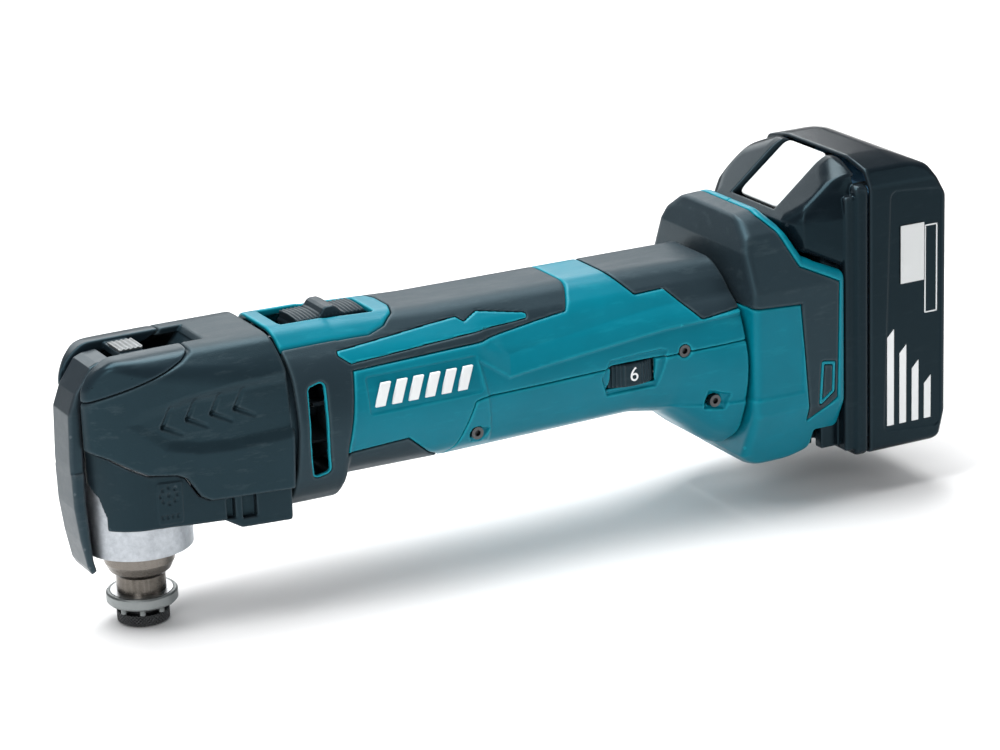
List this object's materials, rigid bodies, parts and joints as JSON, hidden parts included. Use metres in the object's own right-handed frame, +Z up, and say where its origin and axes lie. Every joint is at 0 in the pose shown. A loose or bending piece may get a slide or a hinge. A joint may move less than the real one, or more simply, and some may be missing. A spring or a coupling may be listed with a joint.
{
  "type": "oscillating multi-tool",
  "caption": "Cordless oscillating multi-tool: long teal and black grip, right-angle head with clamp lever, flanged accessory spindle and slide-on battery.",
  "frame": {"origin": "centre of the accessory seat, the lower face of the spindle flange, on the spindle axis", "axes": "+X back along the grip to the battery, +Z up along the spindle axis, away from the accessory, -Y the side with the speed dial"},
  "size_m": [0.3434, 0.0753, 0.1305],
  "materials": {
    "cast_aluminium": "grainy casting",
    "black_rubber": "fine matte texture",
    "black_plastic": "satin moulded",
    "teal_plastic": "satin moulded",
    "bright_steel": "bright",
    "bearing_steel": "polished",
    "ground_steel": "ground, slightly browned",
    "nickel_steel": "satin nickel",
    "forged_steel": "as forged",
    "black_steel": "black oxide",
    "lever_metal": "black satin powder coat",
    "magnet": "ceramic magnet",
    "motor_core": "laminated core",
    "copper": "copper bars",
    "brass": "plain",
    "carbon": "pressed carbon",
    "circuit_board": "potted board",
    "clear_lens": "clear",
    "battery_plastic": "satin black",
    "cell_wrap": "shrink wrap",
    "white_label": "blank label",
    "white_plastic": "satin white"
  },
  "bodies": {
    "housing": {"gear_housing": "cast_aluminium", "head_cover": "black_rubber", "lower_head_cover": "black_plastic", "lever_guard": "black_plastic", "lever_pin": "bright_steel", "lever_stop": "bright_steel", "spindle_lower_bearing": "bearing_steel", "spindle_upper_bearing": "bearing_steel", "motor_housing": "teal_plastic", "lower_cover": "teal_plastic", "front_grip_skin": "black_rubber", "rear_grip_skin": "black_rubber", "switch_plate": "teal_plastic", "grip_inlays": "teal_plastic", "motor_yoke": "bright_steel", "field_magnets": "magnet", "motor_end_bell": "black_plastic", "motor_rear_bearing": "bearing_steel", "bearing_plate": "cast_aluminium", "motor_front_bearing": "bearing_steel", "brush_holders": "brass", "carbon_brushes": "carbon", "switch_module": "black_plastic", "speed_controller": "circuit_board", "rear_housing_right": "teal_plastic", "rear_housing_left": "teal_plastic", "rear_housing_skin": "black_rubber", "side_badges": "teal_plastic", "terminal_block": "black_plastic", "contact_blades": "brass", "light_lens": "clear_lens", "case_screws": "black_steel"},
    "spindle": {"spindle": "ground_steel", "tool_flange": "nickel_steel", "flange_ring": "bright_steel", "swing_fork": "forged_steel", "shaft_retainer": "bright_steel"},
    "clamp_bolt": {"clamp_bolt": "black_steel"},
    "rotor": {"motor_shaft": "ground_steel", "eccentric_sleeve": "forged_steel", "eccentric_bearing": "bearing_steel", "balance_weight": "forged_steel", "cooling_fan": "black_plastic", "armature_core": "motor_core", "commutator": "copper"},
    "clamp_lever": {"clamp_lever": "lever_metal"},
    "release_rod": {"release_rod": "ground_steel"},
    "slide_switch": {"slide_knob": "black_plastic", "switch_link": "black_plastic"},
    "speed_dial": {"speed_dial": "black_plastic"},
    "battery": {"battery_lower_case": "battery_plastic", "battery_upper_case": "battery_plastic", "battery_cells": "cell_wrap", "cell_holder": "black_plastic", "battery_board": "circuit_board", "battery_label": "white_label"},
    "release_button": {"release_button": "white_plastic", "battery_latch": "black_plastic", "button_spring": "bright_steel"}
  },
  "joints": [
    {"name": "spindle_oscillation", "type": "hinge", "parent": "housing", "child": "spindle", "pos_m": [0, 0, 0], "axis": [0, 0, 1], "range_deg": [-1.6, 1.6]},
    {"name": "motor_spin", "type": "hinge", "parent": "housing", "child": "rotor", "pos_m": [0.1, 0, 0.064], "axis": [1, 0, 0], "continuous": true},
    {"name": "clamp_bolt_slide", "type": "slide", "parent": "spindle", "child": "clamp_bolt", "axis": [0, 0, -1], "range_m": [0, 0.05]},
    {"name": "lever_swing", "type": "hinge", "parent": "housing", "child": "clamp_lever", "pos_m": [-0.012, 0, 0.0866], "axis": [0, 1, 0], "range_deg": [0, 120]},
    {"name": "release_rod_slide", "type": "slide", "parent": "housing", "child": "release_rod", "axis": [0, 0, -1], "range_m": [0, 0.0015]},
    {"name": "switch_slide", "type": "slide", "parent": "housing", "child": "slide_switch", "axis": [-1, 0, 0], "range_m": [0, 0.0065]},
    {"name": "speed_dial_turn", "type": "hinge", "parent": "housing", "child": "speed_dial", "pos_m": [0.1845, -0.0162, 0.058], "axis": [0, 0, 1], "range_deg": [-250, 0]},
    {"name": "battery_slide", "type": "slide", "parent": "housing", "child": "battery", "axis": [0, 0, 1], "range_m": [0, 0.11]},
    {"name": "battery_button_press", "type": "slide", "parent": "battery", "child": "release_button", "axis": [0.6293, 0, -0.7771], "range_m": [0, 0.0018], "stiffness_N_per_m": 800, "springref_m": -0.004}
  ],
  "couplings": [
    {"joint": "release_rod_slide", "follows": "lever_swing", "m_per_rad": 0.00057}
  ]
}
